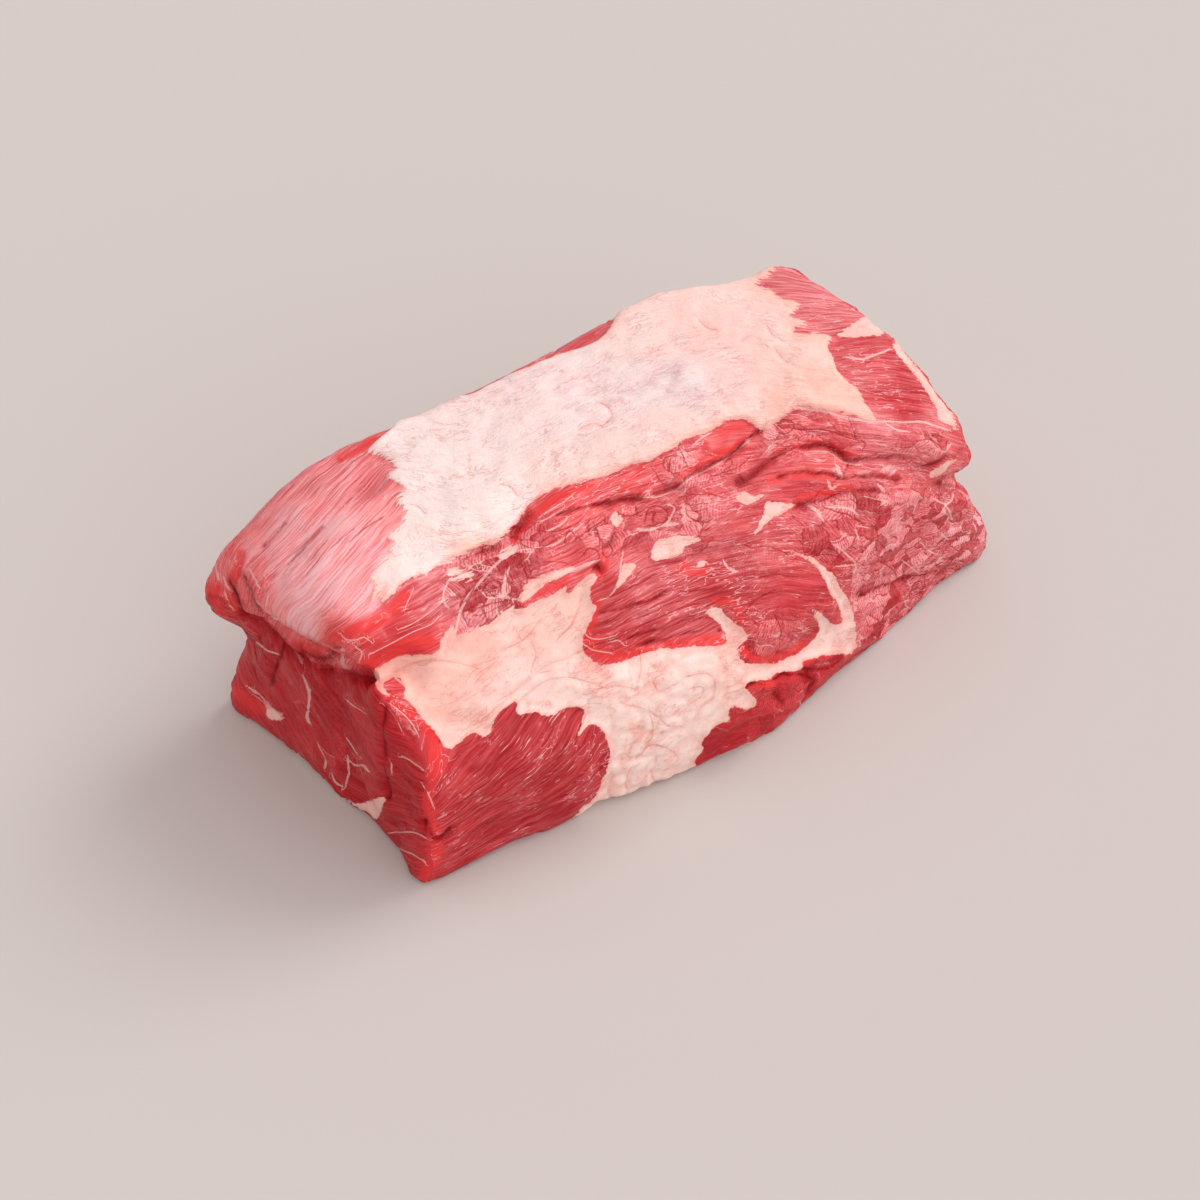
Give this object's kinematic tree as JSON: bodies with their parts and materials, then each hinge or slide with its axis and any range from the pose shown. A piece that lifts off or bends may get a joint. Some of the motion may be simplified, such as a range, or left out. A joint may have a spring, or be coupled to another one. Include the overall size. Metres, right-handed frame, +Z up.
{
  "type": "raw brisket point",
  "caption": "Raw brisket point: a thick uncut block of lean beef with a fat cap on top, fat patches on its front face and two cut ends, lying on its flat underside.",
  "frame": {"origin": "middle of the bounding box's underside, on the surface the meat lies on", "axes": "+X along the block from the left cut end to the right one, +Y from the lean front face to the back, +Z up to the fat cap"},
  "size_m": [0.2836, 0.1296, 0.1023],
  "materials": {
    "meat": "moist raw meat"
  },
  "bodies": {
    "root": {"brisket_point": "meat"}
  },
  "joints": []
}
